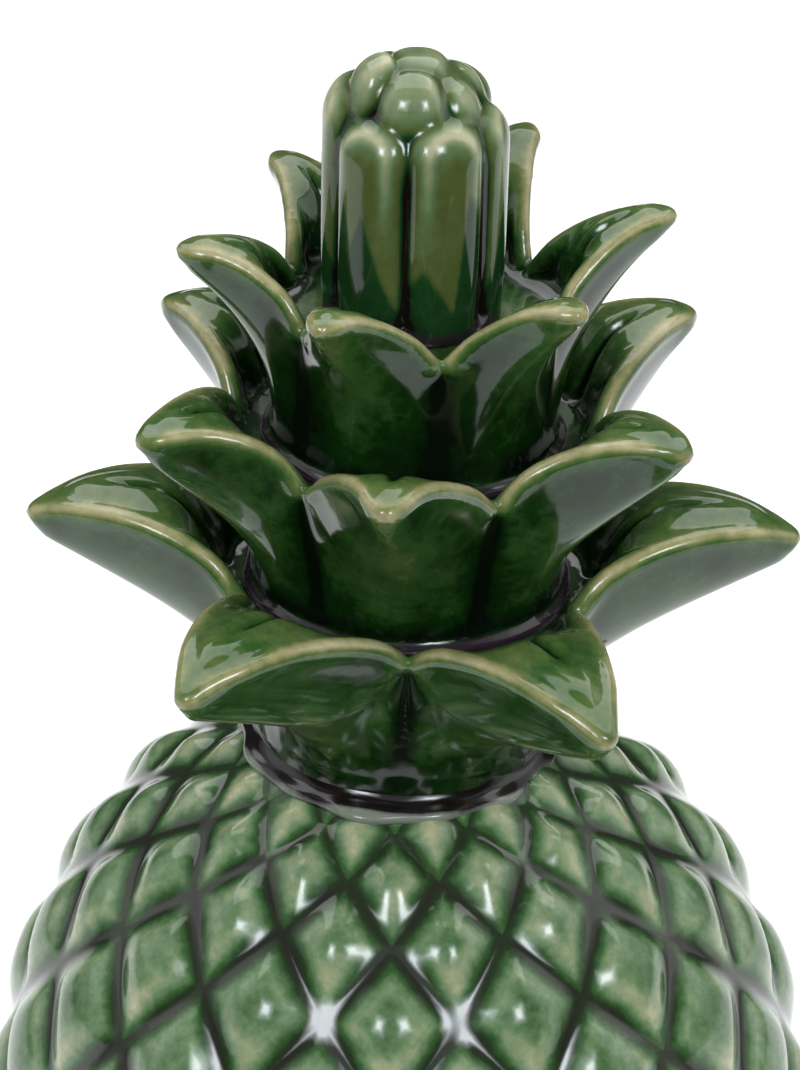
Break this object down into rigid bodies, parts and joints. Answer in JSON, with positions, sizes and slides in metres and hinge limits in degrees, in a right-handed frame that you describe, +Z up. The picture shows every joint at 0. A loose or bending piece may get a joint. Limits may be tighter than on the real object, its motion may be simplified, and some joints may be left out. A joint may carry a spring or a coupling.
{
  "type": "pineapple ornament",
  "caption": "Green glazed earthenware pineapple: hollow ovoid body under a diamond lattice, with a crown of three tiers of outcurved leaves round an upright lobed bud.",
  "frame": {"origin": "centre of the foot on the table, on the body's axis", "axes": "+Z up along the body's axis, -Y the side that faces the viewer, +X to the viewer's right"},
  "size_m": [0.1802, 0.1803, 0.3561],
  "materials": {
    "body_glaze": "mottled translucent green glaze over pale clay, mirror gloss",
    "leaf_glaze": "deep green glaze that thins to cream on rims, mirror gloss",
    "bud_glaze": "green and olive glaze with pale tops, mirror gloss",
    "core_glaze": "very dark green glaze, pooled in the joints, mirror gloss",
    "joint_glaze": "almost black pooled glaze, mirror gloss"
  },
  "bodies": {
    "root": {"foot_ring": "body_glaze", "body_base": "body_glaze", "body_belly": "body_glaze", "body_shoulder": "body_glaze", "crown_luting_ring": "joint_glaze", "lower_core": "core_glaze", "middle_core": "core_glaze", "upper_core": "core_glaze", "lower_leaf_1": "leaf_glaze", "lower_leaf_2": "leaf_glaze", "lower_leaf_3": "leaf_glaze", "lower_leaf_4": "leaf_glaze", "lower_leaf_5": "leaf_glaze", "lower_leaf_6": "leaf_glaze", "middle_leaf_1": "leaf_glaze", "middle_leaf_2": "leaf_glaze", "middle_leaf_3": "leaf_glaze", "middle_leaf_4": "leaf_glaze", "middle_leaf_5": "leaf_glaze", "middle_leaf_6": "leaf_glaze", "upper_leaf_1": "leaf_glaze", "upper_leaf_2": "leaf_glaze", "upper_leaf_3": "leaf_glaze", "upper_leaf_4": "leaf_glaze", "upper_leaf_5": "leaf_glaze", "upper_leaf_6": "leaf_glaze", "bud_core": "core_glaze", "bud_lobe_1": "bud_glaze", "bud_lobe_2": "bud_glaze", "bud_lobe_3": "bud_glaze", "bud_lobe_4": "bud_glaze", "bud_lobe_5": "bud_glaze", "bud_lobe_6": "bud_glaze", "bud_knob_1": "bud_glaze", "bud_knob_2": "bud_glaze", "bud_knob_3": "bud_glaze", "bud_knob_4": "bud_glaze", "bud_knob_5": "bud_glaze", "bud_knob_6": "bud_glaze", "bud_crest": "bud_glaze"}
  },
  "joints": []
}
